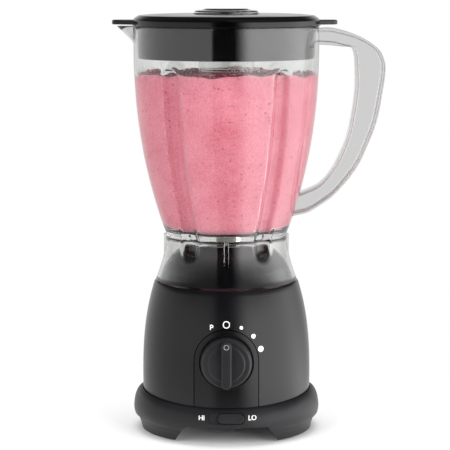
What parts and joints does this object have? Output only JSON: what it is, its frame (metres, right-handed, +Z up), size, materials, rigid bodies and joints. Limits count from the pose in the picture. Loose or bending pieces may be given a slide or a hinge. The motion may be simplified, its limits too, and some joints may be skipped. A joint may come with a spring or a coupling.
{
  "type": "countertop blender",
  "caption": "Countertop blender: round motor base with a speed knob and a range switch, clear fluted jar with a handle and cutter, plug lid and measuring cap.",
  "frame": {"origin": "on the worktop, under the middle of the object's bounding box; the drive axis stands to the left of it, because the handle reaches further than the spout", "axes": "+Z up; the front with the knob faces -Y; the handle is at +X and the pouring spout at -X"},
  "size_m": [0.2382, 0.172, 0.37],
  "materials": {
    "clear_plastic": "clear injection-moulded plastic",
    "black_housing": "satin moulded plastic",
    "black_lid": "smooth moulded plastic",
    "black_control": "smooth moulded plastic",
    "grey_plastic": "moulded",
    "rubber": "moulded",
    "stainless_steel": "bright stainless steel",
    "bearing_bronze": "sintered",
    "lamination_steel": "stamped and oiled",
    "copper_winding": "enamelled copper wire",
    "carbon": "pressed carbon",
    "nylon": "moulded nylon"
  },
  "bodies": {
    "base": {"upper_housing": "black_housing", "foot_ring": "black_housing", "bottom_cover": "black_housing", "control_panel": "black_housing", "cord_inlet_grommet": "rubber", "rubber_foot_rear_right": "rubber", "rubber_foot_rear_left": "rubber", "rubber_foot_front_right": "rubber", "rubber_foot_front_left": "rubber", "cover_screw_rear_right": "stainless_steel", "cover_screw_rear_left": "stainless_steel", "cover_screw_front_right": "stainless_steel", "cover_screw_front_left": "stainless_steel", "motor_screw_rear_right": "stainless_steel", "motor_screw_rear_left": "stainless_steel", "motor_screw_front_right": "stainless_steel", "motor_screw_front_left": "stainless_steel", "rotary_switch_body": "grey_plastic", "range_switch_body": "grey_plastic", "stator_core": "lamination_steel", "field_coil_front": "copper_winding", "field_coil_rear": "copper_winding", "upper_bracket": "lamination_steel", "lower_bracket": "lamination_steel", "upper_bearing": "bearing_bronze", "lower_bearing": "bearing_bronze", "upper_spacer_left": "stainless_steel", "upper_spacer_right": "stainless_steel", "lower_spacer_left": "stainless_steel", "lower_spacer_right": "stainless_steel", "through_bolt_left": "stainless_steel", "through_bolt_right": "stainless_steel", "brush_holder_front": "nylon", "brush_holder_rear": "nylon", "carbon_brush_front": "carbon", "carbon_brush_rear": "carbon"},
    "rotor": {"motor_shaft": "stainless_steel", "armature_core": "lamination_steel", "armature_winding_lower": "copper_winding", "armature_winding_upper": "copper_winding", "commutator": "copper_winding", "cooling_fan": "grey_plastic", "drive_coupling": "nylon", "splash_washer": "rubber"},
    "knob": {"speed_knob": "black_control", "knob_spindle": "stainless_steel"},
    "range_slider": {"range_slider": "black_control"},
    "jar": {"jar": "clear_plastic", "cutter_hub": "nylon", "cutter_gasket": "rubber", "cutter_nut": "stainless_steel"},
    "cutter": {"cutter_shaft": "stainless_steel", "driven_socket": "nylon", "blade_spacer": "stainless_steel", "lower_blade": "stainless_steel", "upper_blade": "stainless_steel", "blade_cap_nut": "stainless_steel"},
    "lid": {"lid": "black_lid"},
    "cap": {"filler_cap": "clear_plastic"}
  },
  "joints": [
    {"name": "jar_lift", "type": "slide", "parent": "base", "child": "jar", "axis": [0, 0, 1], "range_m": [0, 0.06]},
    {"name": "lid_lift", "type": "slide", "parent": "jar", "child": "lid", "axis": [0, 0, 1], "range_m": [0, 0.06]},
    {"name": "cap_lift", "type": "slide", "parent": "lid", "child": "cap", "axis": [0, 0, 1], "range_m": [0, 0.06]},
    {"name": "rotor_spin", "type": "hinge", "parent": "base", "child": "rotor", "pos_m": [-0.01945, 0.00381, 0.09], "axis": [0, 0, 1], "continuous": true},
    {"name": "cutter_spin", "type": "hinge", "parent": "jar", "child": "cutter", "pos_m": [-0.01945, 0.00381, 0.18], "axis": [0, 0, 1], "continuous": true},
    {"name": "knob_turn", "type": "hinge", "parent": "base", "child": "knob", "pos_m": [-0.01945, -0.07069, 0.072], "axis": [0, -1, 0], "range_deg": [-70.5, 23.5]},
    {"name": "range_slide", "type": "slide", "parent": "base", "child": "range_slider", "axis": [-1, 0, 0], "range_m": [0, 0.008]}
  ],
  "couplings": [
    {"joint": "cutter_spin", "follows": "rotor_spin", "ratio": 1}
  ]
}
